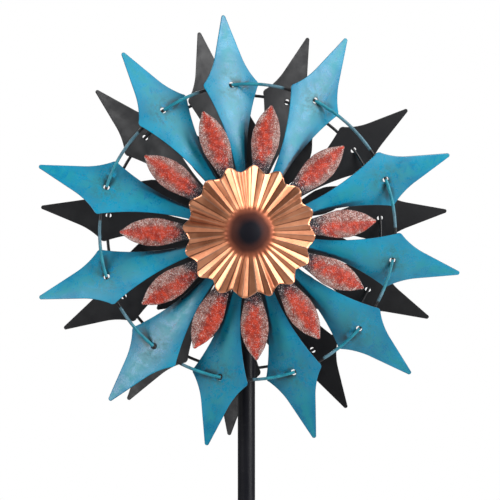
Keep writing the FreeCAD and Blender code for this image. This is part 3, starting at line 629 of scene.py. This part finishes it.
def petal_paint():
    """Red, sponged with white and black speckle; the root and the back stay black."""
    look = Look("Speckled red over black")
    _, radius, _, vector = look.attribute("place")
    share, edge, facing, _ = look.attribute("sheet")
    own = look.noise(look.stretched(vector, 0.0, 0.0, 1.0), 0.37, 1.0)
    patch = look.noise(vector, 0.050, 3.0, 0.60, 0.8)
    cloud = look.noise(vector, 0.13, 4.0, 0.65)
    fine = look.noise(vector, 0.80, 2.0, 0.75)
    coarse = look.noise(look.stretched(vector, 1.0, 1.0, 3.0), 0.66, 2.0, 0.70)
    grit = look.noise(look.stretched(vector, 1.0, 1.0, 7.0), 0.75, 2.0, 0.7)
    leaning = look.add(share, look.rise(own, 0.35, 0.65, -0.45, 0.45))
    inward = look.both(look.rise(look.size(leaning), 1.15, 0.10), look.rise(radius, 70.0, 92.0))
    blotches = look.add(patch, look.both(cloud, 0.20))
    core = look.rise(look.add(look.both(inward, 0.60), blotches), 0.80, 1.24)
    red = look.ramp(cloud, 0.35, 0.65, (0.300, 0.014, 0.005), (0.620, 0.048, 0.012))
    dusty = look.ramp(cloud, 0.35, 0.65, (0.200, 0.038, 0.026), (0.370, 0.100, 0.066))
    look.colour = look.mix(core, dusty, red)
    veil = look.both(look.rise(share, 0.05, 0.95), look.rise(patch, 0.58, 0.42),
                     look.rise(radius, 165.0, 135.0))
    look.over((0.450, 0.330, 0.290), veil, 0.40)
    # speckle, denser away from the red middle
    thin = look.both(core, 0.125)
    toward_tip = look.rise(radius, 138.0, 172.0, 0.0, 0.045)
    white_at = look.less(look.add(thin, look.rise(cloud, 0.3, 0.7, 0.60, 0.50)), toward_tip)
    white = look.rise(look.less(fine, white_at), 0.0, 0.022)
    pale = look.ramp(grit, 0.42, 0.58, (0.58, 0.42, 0.38), (0.84, 0.76, 0.73))
    look.over(pale, white, 0.84)
    dark_side = look.rise(look.size(share), 0.25, 1.0, 0.0, 0.050)
    toward_root = look.rise(radius, 134.0, 92.0, 0.0, 0.13)
    dark_at = look.less(look.add(thin, 0.575), look.add(dark_side, toward_root))
    dark = look.rise(look.less(coarse, dark_at), -0.010, 0.045)
    look.over((0.030, 0.012, 0.012), dark, 0.55)
    stars = look.both(look.rise(grit, 0.59, 0.65), look.rise(radius, 130.0, 95.0, 0.4, 1.0))
    look.over((0.78, 0.74, 0.74), stars, 0.80)
    root = look.rise(look.add(radius, look.both(cloud, 30.0)), 124.0, 104.0)
    look.over((0.009, 0.011, 0.020), root, look.rise(grit, 0.61, 0.56))
    rim = look.rise(look.add(edge, look.both(fine, 2.4)), 2.3, 1.0)
    look.over((0.014, 0.014, 0.02), rim, 0.55)
    matt = look.rise(fine, 0.4, 0.7, 0.42, 0.62)
    roughness = black_coat(look, vector, edge, facing, matt)
    grain = look.bump(look.noise(vector, 1.6, 2.0), 0.0001, 0.3)
    crust = look.add(look.both(white, 0.8), look.both(coarse, 0.6))
    return look.finish(roughness, look.bump(crust, 0.00016, 0.5, grain))


def cap_copper():
    """Bright copper colour, with painted shade in the grooves and painted highlights on the ridges
    and the rim; the dome is burnished dark and dull.
    """
    look = Look("Copper pressing", Specular_IOR_Level=0.25, Coat_Roughness=0.26)
    radius, wave, facing, _ = look.attribute("cap")
    where = look.position()
    cloud = look.noise(where, 26.0, 4.0, 0.6)
    fine = look.noise(where, 420.0, 3.0, 0.6)
    look.colour = look.ramp(cloud, 0.35, 0.68, (0.62, 0.215, 0.098), (0.82, 0.345, 0.180))
    # painted shade: dark brown in the pleats' grooves
    groove = look.both(look.rise(wave, -0.70, -1.0), look.rise(cloud, 0.25, 0.6, 0.55, 0.95))
    look.over((0.150, 0.042, 0.020), groove, 0.85)
    # painted highlight: paler copper along the pleats' ridges
    ridge = look.both(look.rise(wave, 0.75, 1.0), look.rise(radius, 32.0, 46.0))
    look.over((0.98, 0.66, 0.50), ridge, 0.40)
    specks = look.both(look.rise(fine, 0.64, 0.72), look.rise(cloud, 0.45, 0.65))
    look.over((0.10, 0.038, 0.022), specks, 0.30)
    # painted highlight: a pale bright line on the rim's edge
    edge = look.both(look.rise(facing, 0.99, 0.85), look.rise(facing, 0.3, 0.6))
    look.over((1.0, 0.76, 0.56), edge, 0.9)
    uneven = look.add(radius, look.both(look.noise(where, 45.0, 2.0), 7.0))
    look.over((0.380, 0.115, 0.060), look.rise(uneven, 43.0, 34.0))
    look.over((0.090, 0.026, 0.018), look.rise(uneven, 36.0, 27.0))
    look.over((0.004, 0.004, 0.009), look.rise(uneven, 28.0, 15.0))
    behind = look.rise(facing, 0.5, 0.2)
    look.over((0.10, 0.045, 0.025), behind, 0.6)
    dull = look.rise(uneven, 43.0, 29.0)
    roughness = look.add(look.rise(cloud, 0.3, 0.7, 0.27, 0.36), look.both(dull, 0.34))
    metallic = look.less(1.0, look.both(dull, 0.75))
    lacquer = look.both(look.rise(uneven, 34.0, 50.0), 0.7)
    look.tree.links.new(lacquer, look.shader.inputs["Coat Weight"])
    normal = look.bump(look.noise(where, 160.0, 2.0), 0.00004, 0.15, look.bump(cloud, 0.0005, 0.2))
    return look.finish(roughness, normal, metallic)


def ring_paint():
    """Teal on the outward side where nothing stood in front of the spray; black elsewhere."""
    look = Look("Ring teal over black")
    cover, on_blade, _, _ = look.attribute("rod")
    where = look.position()
    blotch = look.noise(where, 90.0, 4.0, 0.62)
    mottle = look.noise(where, 500.0, 3.0)
    teal = look.ramp(blotch, 0.35, 0.65, (0.008, 0.200, 0.280), (0.018, 0.300, 0.385))
    thin = look.ramp(blotch, 0.35, 0.65, (0.070, 0.165, 0.215), (0.130, 0.270, 0.345))
    look.colour = look.mix(on_blade, thin, teal)
    look.over((0.010, 0.030, 0.040), look.rise(mottle, 0.56, 0.68), 0.5)
    ragged = look.both(look.less(blotch, 0.5), 0.6)
    painted = look.rise(look.add(cover, ragged), 0.30, 0.72)
    look.colour = look.mix(painted, (0.010, 0.010, 0.012), look.colour)
    roughness = look.rise(blotch, 0.3, 0.7, 0.30, 0.48)
    return look.finish(roughness, look.bump(mottle, 0.00010, 0.4))


def powder_black(name, blue=0.0):
    """Satin black powder coat with a fine orange peel, faint scuffs and dust."""
    look = Look(name, Specular_IOR_Level=0.35)
    where = look.position()
    cloud = look.noise(where, 9.0, 4.0, 0.6)
    streak = look.noise(look.stretched(where, 1.0, 1.0, 0.06), 240.0, 3.0, 0.6)
    peel = look.noise(where, 900.0, 2.0, 0.5)
    look.colour = look.mix(cloud, (0.0020, 0.0022, 0.0036 + blue), (0.0050, 0.0054, 0.0076 + blue))
    scuffs = look.both(look.rise(streak, 0.62, 0.72), look.rise(cloud, 0.48, 0.66))
    look.over((0.055, 0.055, 0.060), scuffs, 0.25)
    dust = look.both(look.rise(look.noise(where, 160.0, 3.0), 0.60, 0.74), 0.15)
    look.over((0.090, 0.086, 0.080), dust)
    roughness = look.rise(look.add(cloud, look.both(streak, 0.4)), 0.4, 1.0, 0.30, 0.52)
    normal = look.bump(peel, 0.00012, 0.5, look.bump(cloud, 0.0004, 0.15))
    return look.finish(roughness, normal)


def fork_steel():
    """The fork: the same black, scraped to bare steel and a little rust towards its points."""
    look = Look("Fork black, scraped")
    where = look.position()
    height = look.parts(where)[2]
    cloud = look.noise(where, 35.0, 4.0, 0.65)
    peel = look.noise(where, 900.0, 2.0, 0.5)
    scrape = look.noise(look.stretched(where, 1.0, 1.0, 0.12), 420.0, 3.0, 0.7)
    gives_way = look.add(look.rise(height, -0.08, -0.20), look.both(look.less(scrape, 0.5), 1.4))
    bare = look.rise(gives_way, 0.52, 0.72)
    black = look.mix(cloud, (0.0075, 0.0075, 0.0085), (0.018, 0.018, 0.020))
    steel = look.ramp(scrape, 0.35, 0.7, (0.20, 0.19, 0.18), (0.42, 0.41, 0.40))
    rust = look.both(look.rise(cloud, 0.52, 0.70), look.rise(gives_way, 0.35, 0.6))
    look.colour = look.mix(bare, black, steel)
    look.over((0.115, 0.040, 0.014), rust, 0.75)
    metallic = look.both(bare, look.rise(rust, 0.5, 0.1), 0.9)
    roughness = look.rise(look.add(cloud, look.both(rust, 0.5)), 0.3, 1.0, 0.34, 0.72)
    normal = look.bump(scrape, 0.00015, 0.5, look.bump(peel, 0.0001, 0.3))
    return look.finish(roughness, normal, metallic)


def zinc(name, colour_a=(0.46, 0.47, 0.48), colour_b=(0.62, 0.62, 0.60)):
    """Bright zinc plate with a mottled passivated sheen and fine turning marks."""
    look = Look(name, Metallic=1.0)
    where = look.position()
    spangle = look.noise(where, 130.0, 4.0, 0.6)
    turned = look.noise(look.stretched(where, 0.05, 1.0, 0.05), 2600.0, 2.0, 0.5)
    look.colour = look.ramp(spangle, 0.35, 0.68, colour_a, colour_b)
    grime = look.rise(look.noise(where, 48.0, 4.0, 0.7), 0.56, 0.74)
    look.over((0.17, 0.165, 0.15), grime, 0.5)
    roughness = look.add(look.rise(spangle, 0.3, 0.7, 0.24, 0.40), look.both(grime, 0.18))
    normal = look.bump(turned, 0.00004, 0.5, look.bump(spangle, 0.0001, 0.3))
    return look.finish(roughness, normal)


def bearing_steel():
    """Ground rings with a dark rubber seal between them."""
    look = Look("Bearing steel and seal")
    where = look.position()
    x, _, z = look.parts(where)
    away = look.distance(x, look.less(z, HUB.z))
    seal = look.both(look.rise(away, 0.00640, 0.00655), look.rise(away, 0.01110, 0.01095))
    fine = look.noise(look.stretched(where, 0.05, 1.0, 0.05), 2400.0, 2.0)
    cloud = look.noise(where, 150.0, 3.0)
    steel = look.ramp(cloud, 0.35, 0.7, (0.50, 0.50, 0.50), (0.66, 0.66, 0.65))
    rubber = look.mix(cloud, (0.010, 0.010, 0.011), (0.026, 0.026, 0.027))
    look.colour = look.mix(seal, steel, rubber)
    roughness = look.mix(seal, look.rise(fine, 0.3, 0.7, 0.16, 0.28),
                         look.rise(cloud, 0.3, 0.7, 0.55, 0.72))
    metallic = look.rise(seal, 0.6, 0.4)
    return look.finish(roughness, look.bump(fine, 0.00003, 0.5), metallic)


def moulded_plug():
    look = Look("Moulded black plug")
    where = look.position()
    grain = look.noise(where, 1500.0, 2.0, 0.6)
    cloud = look.noise(where, 60.0, 3.0)
    look.colour = look.mix(cloud, (0.010, 0.010, 0.011), (0.021, 0.021, 0.022))
    look.over((0.05, 0.05, 0.05), look.rise(grain, 0.62, 0.72), 0.3)
    roughness = look.rise(cloud, 0.3, 0.7, 0.48, 0.66)
    return look.finish(roughness, look.bump(grain, 0.0001, 0.4))


def weld_metal():
    """Weld beads under the black spray: rippled, with soot and a few bare glints."""
    look = Look("Weld under black")
    where = look.position()
    cloud = look.noise(where, 220.0, 4.0, 0.65)
    ripple = look.noise(where, 1300.0, 2.0)
    look.colour = look.mix(cloud, (0.009, 0.009, 0.010), (0.028, 0.027, 0.027))
    look.over((0.12, 0.105, 0.09), look.rise(ripple, 0.62, 0.72), 0.5)
    roughness = look.rise(cloud, 0.3, 0.7, 0.38, 0.62)
    return look.finish(roughness, look.bump(ripple, 0.0002, 0.5))


# --- rotors ---

def blade_angle(side, index):
    """The CAD blade's angle round the hub, read from where its tip lies."""
    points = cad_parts[f"{side}_blade_{index:02d}"].data.vertices
    tip = max((point.co - HUB for point in points), key=lambda at: math.hypot(at.x, at.z))
    return math.atan2(tip.x, tip.z) % (2 * math.pi)


def join(name, objects):
    """One object from several, keeping their attributes and materials."""
    if len(objects) > 1:
        with bpy.context.temp_override(active_object=objects[0], selected_editable_objects=objects):
            bpy.ops.object.join()
    objects[0].name = name
    return objects[0]


def bead(points, thickness, seed, closed=False, sides=10):
    """A lumpy weld bead along a path of points, which may close on itself."""
    rng = random.Random(seed)
    vertices, count = [], len(points)
    for index, point in enumerate(points):
        before, after = points[index - 1], points[(index + 1) % count]
        if not closed and index in (0, count - 1):
            before, after = (point, after) if index == 0 else (before, point)
        along = (after - before).normalized()
        aside = along.cross(Vector((0.31, 0.87, 0.38))).normalized()
        other = along.cross(aside)
        swell = thickness * (1 + 0.22 * math.sin(index * 1.9) + rng.uniform(-0.08, 0.08))
        if not closed:
            swell *= max(math.sin(math.pi * (index + 0.35) / (count - 0.3)), 0.12) ** 0.5
        vertices += [point + (aside * math.cos(spoke) + other * math.sin(spoke)) * swell
                     for spoke in turns(sides)]
    return new_object("bead", vertices, tube_faces(count, sides, closed))


def weld_spot(side, angle, radius, out, size, height):
    """A low round puddle of weld metal on a sheet's outward face."""
    vertices, rings, sides = [], 5, 18
    for ring in range(rings):
        reach = size * (1 - ring / rings)
        rise = height * math.sin(math.pi / 2 * ring / (rings - 1)) - WELD_SUNK
        for spoke in turns(sides):
            lump = 1 + 0.07 * math.sin(3 * spoke + angle * 5) + 0.04 * math.sin(5 * spoke + angle)
            across, along = reach * lump * math.cos(spoke), reach * lump * math.sin(spoke)
            vertices.append(to_world(across, SIDES[side] * (out + rise), radius + along, angle))
    return new_object("weld_spot", vertices, tube_faces(rings, sides))


def make_ring(side, angles, seed):
    """The ring rod, bent by hand: its paint follows where the blades shaded it from the spray."""
    sway = Vector((seed, 0.5, 2.5))

    def unevenness(angle, row):
        at = Vector((math.sin(angle) * 2.2, math.cos(angle) * 2.2, row))
        return noise.noise(at + sway)

    vertices, around, sides = [], 420, 20
    for angle in turns(around):
        radius = RING_RADIUS + ROD_WAVES * unevenness(angle, 0)
        out = RING_OUT + ROD_WAVES_OUT * unevenness(angle, 9)
        vertices += [to_world(0, SIDES[side] * (out + ROD * math.sin(spoke)),
                              radius + ROD * math.cos(spoke), angle) for spoke in turns(sides)]
    made = new_object(f"{side}_ring_rod", vertices, tube_faces(around, sides, closed=True))
    reach = math.degrees(math.asin(HALF_WIDTH / RING_RADIUS))
    rows = []
    for vertex in made.data.vertices:
        at = vertex.co - HUB
        angle = math.atan2(at.x, at.z)
        past = min(math.degrees(angle - blade) % 360 for blade in angles)
        before = min(math.degrees(blade - angle) % 360 for blade in angles)
        out = SIDES[side] * (vertex.co.y - HUB.y) / MM - RING_OUT
        shaded = ease(before, reach * 1.32, reach * 1.05)
        in_front = ease(past, reach * 1.35, reach * 0.85)
        cover = (1 - shaded) * ease(out, -ROD * 0.55, ROD * 0.15)
        rows.append((cover, in_front, angle))
    put_attribute(made, "rod", rows)
    return made


def paint(obj, material):
    obj.data.materials.clear()
    obj.data.materials.append(material)


def dress(obj, material, body, material_slot, *nodes):
    """Give a new piece its material and its body, and hide the CAD nodes that it stands for."""
    paint(obj, material)
    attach(obj, body)
    if nodes:
        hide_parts(*nodes)


def make_rotor(side, seed):
    rng = random.Random(seed)
    body = f"{side}_rotor"
    angles = [blade_angle(side, index) for index in range(1, BLADES + 1)]
    blade_face = ROOT_OUT + BLADE_METAL / 2
    petal_face = ROOT_OUT + PETAL_LIFT + PETAL_METAL / 2
    petals, tacks, welds = [], [], []
    for index, angle in enumerate(angles, start=1):
        name = f"{side}_blade_{index:02d}"
        blade = formed(f"{name}_sheet", side, angle, blade_pattern, blade_shape, BLADE_METAL,
                       rng.uniform(0, 90), BLADE_WAVES)
        dress(blade, blue, body, "blade_blue", name)
        between = angle + ((angles[index % BLADES] - angle) % (2 * math.pi)) / 2
        petals.append(formed(f"{side}_petal_{index:02d}_leaf", side, between, petal_pattern,
                             petal_shape, PETAL_METAL, rng.uniform(0, 90), PETAL_WAVES))
        tacks.append(rod_tack(side, angle, rng.random()))
        welds.append(weld_spot(side, between, PLUG_WELD_PLACE, petal_face,
                               PLUG_WELD_SIZE, PLUG_WELD_HEIGHT))
        welds += [weld_spot(side, angle, place, blade_face, SPOT_WELD_SIZE, SPOT_WELD_HEIGHT)
                  for place in SPOT_WELD_PLACES]
    if side == "front":
        for index, petal in enumerate(petals, start=1):
            dress(petal, red, body, "petal_red", f"front_petal_{index:02d}")
    else:
        dress(join("rear_petals_leaves", petals), red, body, "petal_red", "rear_petals")
    dress(make_ring(side, angles, seed * 3.7), teal, body, "ring_blue", f"{side}_ring")
    dress(join(f"{side}_ring_tacks", tacks), weld, body, "blade_blue")
    dress(join(f"{side}_tab_welds", welds), weld, body, "plate_black")
    dress(make_cap(side, seed + 40), copper, body, "cap_copper", f"{side}_cap")


def rod_tack(side, angle, chance):
    """The tack that holds the rod in a blade's hole, on the sheet's black side."""
    start = angle + math.asin(-TACK_BEFORE / RING_RADIUS)
    radius = RING_RADIUS + TACK_RISE + TACK_SPREAD * chance
    out = SIDES[side] * (RING_OUT + TACK_OUT)
    points = [to_world(0, out, radius, start - TACK_SWEEP * step / 6) for step in range(7)]
    return bead(points, TACK_THICK * MM, chance)


# --- stand ---

def stand_welds():
    """Beads round the socket tube, along the fork's rods and round the axle sleeve's ends."""
    low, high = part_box("ground_socket")
    pole_low, pole_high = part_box("pole_lower")
    pole_radius = (pole_high.x - pole_low.x) / 2
    reach = pole_radius + SOCKET_WALL * MM + 0.0012
    level = low.z + FOOT_METAL * MM + 0.0008
    round_socket = [Vector((reach * math.cos(turn), reach * math.sin(turn), level))
                    for turn in turns(90)]
    beads = [bead(round_socket, 0.0021, 3, closed=True)]
    for sign in (-1, 1):
        run = [sign * (0.010 + 0.017 * i / 16) for i in range(17)]
        for seat in (-ROD_SEAT, ROD_SEAT):
            along_x = [Vector((at, seat, low.z - 0.0022)) for at in run]
            along_y = [Vector((seat, at, low.z - 0.0016)) for at in run]
            beads.append(bead(along_x, 0.0018, 7 + sign + seat))
            beads.append(bead(along_y, 0.0016, 11 + sign + seat))
    sleeve_low, sleeve_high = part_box("axle_sleeve")
    reach = (sleeve_high.x - sleeve_low.x) / 2 * 1.05
    for sign in (-1, 1):
        points = []
        for turn in turns(48):
            x = reach * math.cos(turn)
            y = sign * (math.sqrt(pole_radius ** 2 - x * x) + 0.0004)
            points.append(Vector((x, y, HUB.z + reach * math.sin(turn))))
        beads.append(bead(points, 0.0016, 20 + sign, closed=True))
    return join("stand_weld_beads", beads)


def screw_heads():
    """Button heads with a hexagon socket, one for each CAD joint screw."""
    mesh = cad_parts["joint_screws"].data
    heights = sorted({round(vertex.co.z, 3) for vertex in mesh.vertices})
    low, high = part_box("joint_screws")
    levels = []
    for height in heights:
        if not levels or height - levels[-1][-1] > 0.02:
            levels.append([height])
        else:
            levels[-1].append(height)
    heads = []
    for level in levels:
        tip = Vector((0, low.y, (level[0] + level[-1]) / 2))
        heads.append(screw_head(tip, high.y - low.y, (level[-1] - level[0]) / 2))
    return join("joint_screw_buttons", heads)


def screw_head(tip, length, radius):
    """A turned button head on its shank, along +Y from its outer face."""
    rise, sides, vertices = 0.0028, 48, []
    # share of the radius, depth from the outer face, and whether it is the socket's hexagon
    profile = [(0.36, 0.0019, True), (0.36, 0.00025, True), (0.42, 0.00004, True),
               (0.55, 0.0, False), (0.78, 0.0004, False), (0.93, 0.0012, False),
               (0.995, 0.0022, False), (0.97, rise, False), (0.55, rise, False),
               (0.54, length, False)]
    for share, depth, hexagon in profile:
        for spoke in turns(sides):
            corner = math.cos(math.pi / 6) / math.cos(spoke % (math.pi / 3) - math.pi / 6)
            reach = share * radius * (corner if hexagon else 1.0)
            vertices.append(tip + Vector((reach * math.cos(spoke), depth, reach * math.sin(spoke))))
    return new_object("screw", vertices, tube_faces(len(profile), sides))


# --- the scene ---

ring_hole = ((0.0, RING_RADIUS), HOLE_ACROSS * math.cos(PITCH), HOLE_RADIAL)
blade_pattern = Pattern(blade_outline(), 4.4, ring_hole)
petal_pattern = Pattern(petal_outline(), 3.0)
blue, red, teal = blade_paint(), petal_paint(), ring_paint()
copper, weld = cap_copper(), weld_metal()
make_rotor("front", 5)
make_rotor("rear", 17)

CAD_LOOKS = [
    (powder_black("Pole powder coat", 0.002),
     ["pole_lower", "pole_middle", "pole_upper", "ground_socket", "axle_sleeve"]),
    (powder_black("Plate black"),
     [f"{side}_{part}" for side in SIDES for part in ("blade_plate", "petal_plate", "hub")]),
    (zinc("Bright zinc"), ["jam_nuts", "axle_washers", "lock_nuts"]),
    (zinc("Dull zinc", (0.34, 0.34, 0.34), (0.48, 0.47, 0.45)),
     ["axle", "axle_spacers", "race_spacers"]),
    (fork_steel(), ["ground_fork"]),
    (moulded_plug(), ["pole_cap"]),
    (bearing_steel(), ["front_bearings", "rear_bearings"]),
]
for material, nodes in CAD_LOOKS:
    for node in nodes:
        paint(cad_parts[node], material)
dress(stand_welds(), weld, "stand", "pole_black")
dress(screw_heads(), zinc("Screw zinc"), "stand", "hardware_zinc", "joint_screws")


def make_floor():
    """A pale disc under the fork that fades out into the white background."""
    low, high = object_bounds()
    rings, sides, reach = 24, 96, 3.2
    vertices = [(0, 0, low.z)]
    for ring in range(1, rings + 1):
        distance = reach * ring / rings
        vertices += [(distance * math.cos(turn), distance * math.sin(turn), low.z)
                     for turn in turns(sides)]
    rows = [range(1 + ring * sides, 1 + (ring + 1) * sides) for ring in range(rings)]
    faces = fan(0, rows[0])
    for inner, outer in zip(rows, rows[1:]):
        faces += bridge(inner, outer)
    floor = new_object("floor", vertices, faces)
    look = Look("Pale floor", Roughness=0.8)
    where = look.position()
    grain = look.noise(where, 60.0, 4.0)
    x, y, _ = look.parts(where)
    away = look.distance(x, y)
    look.tree.links.new(look.rise(away, reach, 0.9), look.shader.inputs["Alpha"])
    look.colour = look.mix(grain, (0.80, 0.80, 0.80), (0.86, 0.86, 0.855))
    look.finish(None, look.bump(grain, 0.0003, 0.2))
    floor.data.materials.append(look.material)


def make_world():
    """White where the camera looks past the object, dimmer as a light."""
    world = bpy.data.worlds.new("Studio")
    world.use_nodes = True
    bpy.context.scene.world = world
    tree = world.node_tree
    tree.nodes.clear()
    ray, dim, white, choice, output = (tree.nodes.new("ShaderNode" + kind) for kind in (
        "LightPath", "Background", "Background", "MixShader", "OutputWorld"))
    for shade, strength in ((dim, AMBIENT), (white, 1.0)):
        shade.inputs["Color"].default_value = (1, 1, 1, 1)
        shade.inputs["Strength"].default_value = strength
    tree.links.new(ray.outputs["Is Camera Ray"], choice.inputs[0])
    tree.links.new(dim.outputs[0], choice.inputs[1])
    tree.links.new(white.outputs[0], choice.inputs[2])
    tree.links.new(choice.outputs[0], output.inputs["Surface"])


def area_light(name, place, width, height, power):
    """A rectangular lamp that faces the hub and isn't seen itself."""
    lamp = bpy.data.lights.new(name, "AREA")
    lamp.shape, lamp.size, lamp.size_y, lamp.energy = "RECTANGLE", width, height, power
    holder = bpy.data.objects.new(name, lamp)
    bpy.context.scene.collection.objects.link(holder)
    holder.location = HUB + Vector(place)
    holder.rotation_euler = (-Vector(place)).to_track_quat("-Z", "Y").to_euler()
    holder.visible_camera = False


def make_camera():
    """The photo's view: level with the hub, turned and tilted a little off it."""
    lens = bpy.data.cameras.new("camera")
    lens.lens, lens.sensor_width = 84.0, 36.0
    camera = bpy.data.objects.new("camera", lens)
    bpy.context.scene.collection.objects.link(camera)
    camera.location = HUB + Vector((-0.063, -1.7, 0.0))
    yaw, pitch = math.radians(2.3), math.radians(0.88)
    level = Vector((math.sin(yaw), math.cos(yaw), 0)) * math.cos(pitch)
    direction = level - Vector((0, 0, math.sin(pitch)))
    camera.rotation_euler = direction.to_track_quat("-Z", "Y").to_euler()
    bpy.context.scene.camera = camera


AMBIENT = 0.18
make_floor()
make_world()
# name, place from the hub, width, height and power
LIGHTS = [("key", (1.90, -1.34, 0.55), 1.2, 2.6, 62), ("side", (1.00, -0.89, 1.74), 1.8, 1.8, 10),
          ("fill", (-1.90, -1.34, 0.60), 1.1, 1.3, 28), ("back", (-0.6, 2.4, 1.2), 1.6, 1.2, 40)]
for light in LIGHTS:
    area_light(*light)
make_camera()
bpy.context.scene.view_settings.view_transform = "Standard"
